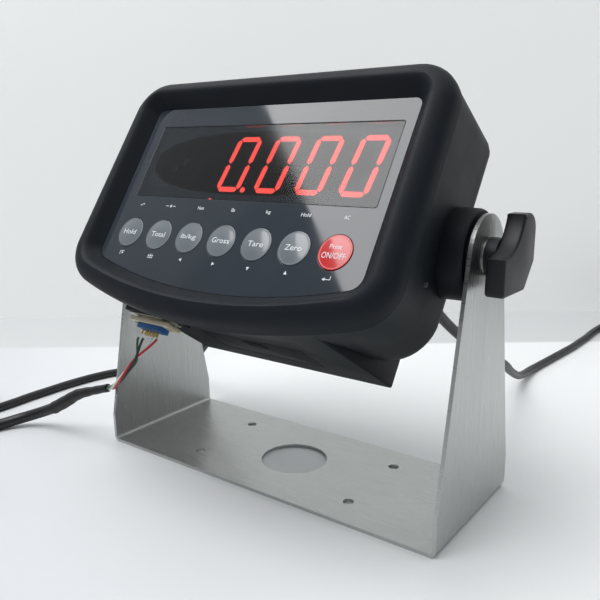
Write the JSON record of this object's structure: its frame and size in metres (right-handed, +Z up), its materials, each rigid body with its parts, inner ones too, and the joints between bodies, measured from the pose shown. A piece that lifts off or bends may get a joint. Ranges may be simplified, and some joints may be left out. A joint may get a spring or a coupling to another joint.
{
  "type": "weighing indicator on tilt bracket",
  "caption": "Weighing indicator head with red LED digits and round keys, tilting in a stainless U bracket between two wing knobs, with load cell, serial and mains cables.",
  "frame": {"origin": "centre of the round cable hole in the bracket's base, on the base's underside", "axes": "+X to the right along the tilt pivots, +Y to the back, +Z up; the display faces -Y and up"},
  "size_m": [0.506, 0.7285, 0.2238],
  "materials": {
    "stainless": "brushed along the arms' height",
    "housing": "fine moulded grain, satin",
    "gasket": "matt",
    "overlay": "glossy printed polycarbonate film",
    "membrane": "translucent film",
    "dome_metal": "polished snap domes",
    "lens": "smoked window",
    "digit_body": "matt grey face",
    "segment_lit": "glowing red",
    "segment_dark": "diffuse, unlit",
    "led_red": "diffuse",
    "circuit_board": "solder mask green",
    "fastener": "zinc plated",
    "buzzer_black": "satin",
    "core_steel": "varnished laminations",
    "winding": "yellow tape over the winding",
    "battery_wrap": "shrink film",
    "brass": "turned",
    "knob": "satin moulded nylon",
    "connector_shell": "tin plated steel",
    "plug_body": "ivory moulding",
    "insulator_blue": "moulded",
    "gold": "gold flash with solder",
    "key_grey": "glossy domed film",
    "key_red": "glossy domed film",
    "wire_colors": "red, white, black and green insulation",
    "sleeve": "heat-shrunk polyolefin",
    "cable_black": "satin PVC jacket",
    "connector_metal": "nickel plated",
    "hood_grey": "moulded hood",
    "mains_plug_black": "moulded PVC with nickel pins"
  },
  "bodies": {
    "bracket": {"u_bracket": "stainless", "signal_wires": "wire_colors", "heat_shrink": "sleeve", "load_cell_cable": "cable_black", "load_cell_coil": "cable_black", "load_cell_connector": "connector_metal", "serial_cable": "cable_black", "serial_coil": "cable_black", "serial_connector": "hood_grey", "mains_lead": "cable_black", "mains_coil": "cable_black", "mains_plug": "mains_plug_black"},
    "head": {"front_shell": "housing", "rear_shell": "housing", "housing_gasket": "gasket", "panel_overlay": "overlay", "membrane_layer": "membrane", "dome_switches": "dome_metal", "display_lens": "lens", "led_digits": "digit_body", "lit_segments": "segment_lit", "unlit_segments": "segment_dark", "annunciator_leds": "led_red", "main_board": "circuit_board", "board_screws": "fastener", "buzzer": "buzzer_black", "power_board": "circuit_board", "transformer_core": "core_steel", "transformer_coil": "winding", "battery_pack": "battery_wrap", "battery_door": "housing", "housing_screws": "fastener", "seal_screw": "fastener", "pivot_insert_left": "brass", "pivot_insert_right": "brass", "friction_washer_left": "gasket", "friction_washer_right": "gasket", "signal_socket": "connector_shell", "jack_screws": "fastener", "signal_plug": "plug_body", "plug_insulator": "insulator_blue", "solder_cups": "gold", "serial_gland": "cable_black", "mains_strain_relief": "cable_black"},
    "washer_left": {"plain_washer_left": "fastener"},
    "washer_right": {"plain_washer_right": "fastener"},
    "knob_left": {"knob_left": "knob", "knob_stud_left": "fastener"},
    "knob_right": {"knob_right": "knob", "knob_stud_right": "fastener"},
    "key_hold": {"key_hold": "key_grey"},
    "key_total": {"key_total": "key_grey"},
    "key_unit": {"key_unit": "key_grey"},
    "key_gross": {"key_gross": "key_grey"},
    "key_tare": {"key_tare": "key_grey"},
    "key_zero": {"key_zero": "key_grey"},
    "key_power": {"key_power": "key_red"}
  },
  "joints": [
    {"name": "head_tilt", "type": "hinge", "parent": "bracket", "child": "head", "pos_m": [0, 0, 0.137], "axis": [1, 0, 0], "range_deg": [-56, 64], "deforming": ["signal_wires", "serial_cable", "mains_lead"]},
    {"name": "washer_left_slide", "type": "slide", "parent": "head", "child": "washer_left", "axis": [-1, 0, 0], "range_m": [0, 0.0021]},
    {"name": "knob_left_turn", "type": "hinge", "parent": "washer_left", "child": "knob_left", "pos_m": [-0.116, 0, 0.137], "axis": [-1, 0, 0], "range_deg": [0, 720]},
    {"name": "washer_right_slide", "type": "slide", "parent": "head", "child": "washer_right", "axis": [1, 0, 0], "range_m": [0, 0.0021]},
    {"name": "knob_right_turn", "type": "hinge", "parent": "washer_right", "child": "knob_right", "pos_m": [0.116, 0, 0.137], "axis": [1, 0, 0], "range_deg": [0, 720]},
    {"name": "key_hold_press", "type": "slide", "parent": "head", "child": "key_hold", "axis": [0, 0.829, -0.5592], "range_m": [0, 0.0005], "stiffness_N_per_m": 1500},
    {"name": "key_total_press", "type": "slide", "parent": "head", "child": "key_total", "axis": [0, 0.829, -0.5592], "range_m": [0, 0.0005], "stiffness_N_per_m": 1500},
    {"name": "key_unit_press", "type": "slide", "parent": "head", "child": "key_unit", "axis": [0, 0.829, -0.5592], "range_m": [0, 0.0005], "stiffness_N_per_m": 1500},
    {"name": "key_gross_press", "type": "slide", "parent": "head", "child": "key_gross", "axis": [0, 0.829, -0.5592], "range_m": [0, 0.0005], "stiffness_N_per_m": 1500},
    {"name": "key_tare_press", "type": "slide", "parent": "head", "child": "key_tare", "axis": [0, 0.829, -0.5592], "range_m": [0, 0.0005], "stiffness_N_per_m": 1500},
    {"name": "key_zero_press", "type": "slide", "parent": "head", "child": "key_zero", "axis": [0, 0.829, -0.5592], "range_m": [0, 0.0005], "stiffness_N_per_m": 1500},
    {"name": "key_power_press", "type": "slide", "parent": "head", "child": "key_power", "axis": [0, 0.829, -0.5592], "range_m": [0, 0.0005], "stiffness_N_per_m": 1500}
  ],
  "couplings": [
    {"joint": "washer_left_slide", "follows": "knob_left_turn", "m_per_rad": 0.00015915},
    {"joint": "washer_right_slide", "follows": "knob_right_turn", "m_per_rad": 0.00015915}
  ]
}
